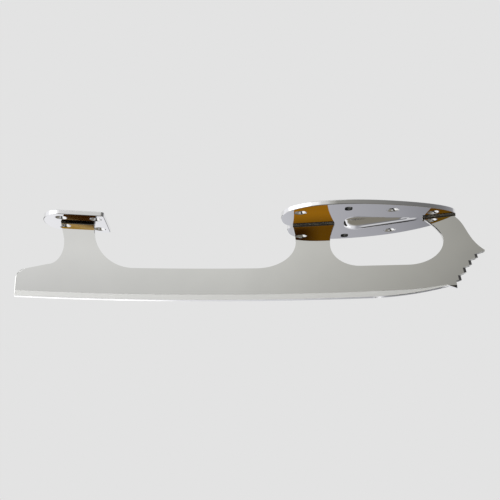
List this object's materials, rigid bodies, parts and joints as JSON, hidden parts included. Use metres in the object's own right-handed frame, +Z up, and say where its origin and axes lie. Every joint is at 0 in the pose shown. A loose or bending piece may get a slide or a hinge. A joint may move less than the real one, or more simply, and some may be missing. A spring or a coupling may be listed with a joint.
{
  "type": "figure skate blade",
  "caption": "Figure skate blade: a hollow-ground steel runner with toe picks, brazed at its stanchions to a sole plate and a heel plate that screw under a boot.",
  "frame": {"origin": "top of the sole plate, level with its rear screw holes, in the runner's middle plane", "axes": "+X to the toe, +Z up to the boot, -Y the side that the picture shows"},
  "size_m": [0.2895, 0.0753, 0.0565],
  "materials": {
    "runner": "polished chrome plate",
    "plates": "polished chrome plate",
    "braze": "satin braze metal"
  },
  "bodies": {
    "root": {"runner": "runner", "sole_plate": "plates", "heel_plate": "plates", "heel_braze_near": "braze", "heel_braze_far": "braze", "sole_braze_near": "braze", "sole_braze_far": "braze", "toe_braze_near": "braze", "toe_braze_far": "braze"}
  },
  "joints": []
}
